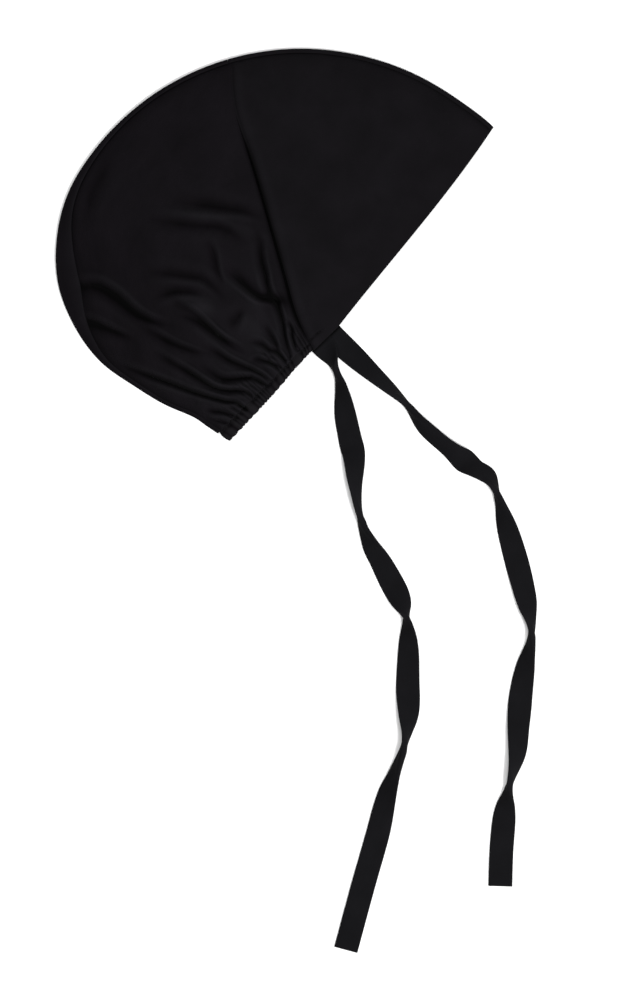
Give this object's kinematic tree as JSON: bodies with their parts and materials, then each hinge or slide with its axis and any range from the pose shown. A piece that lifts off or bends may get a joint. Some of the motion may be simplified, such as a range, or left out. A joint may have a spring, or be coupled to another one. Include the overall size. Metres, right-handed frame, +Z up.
{
  "type": "tie-back bonnet cap",
  "caption": "Soft jersey cap folded flat on its side, with a smooth front panel, a gathered crown, an elastic nape casing and long flat ties.",
  "frame": {"origin": "middle of the whole outline from above, on the surface that the cap lies on", "axes": "+Z up from that surface, +Y from the loose ends of the ties towards the crown, +X towards the front edge's side"},
  "size_m": [0.3831, 0.7223, 0.0218],
  "materials": {
    "panel_jersey": "matte",
    "crown_jersey": "matte",
    "casing_jersey": "matte",
    "tie_jersey": "matte"
  },
  "bodies": {
    "root": {"front_panel_upper": "panel_jersey", "front_panel_under": "panel_jersey", "crown_upper": "crown_jersey", "crown_under": "crown_jersey", "nape_casing": "casing_jersey", "tie_upper": "tie_jersey", "tie_under": "tie_jersey"}
  },
  "joints": []
}
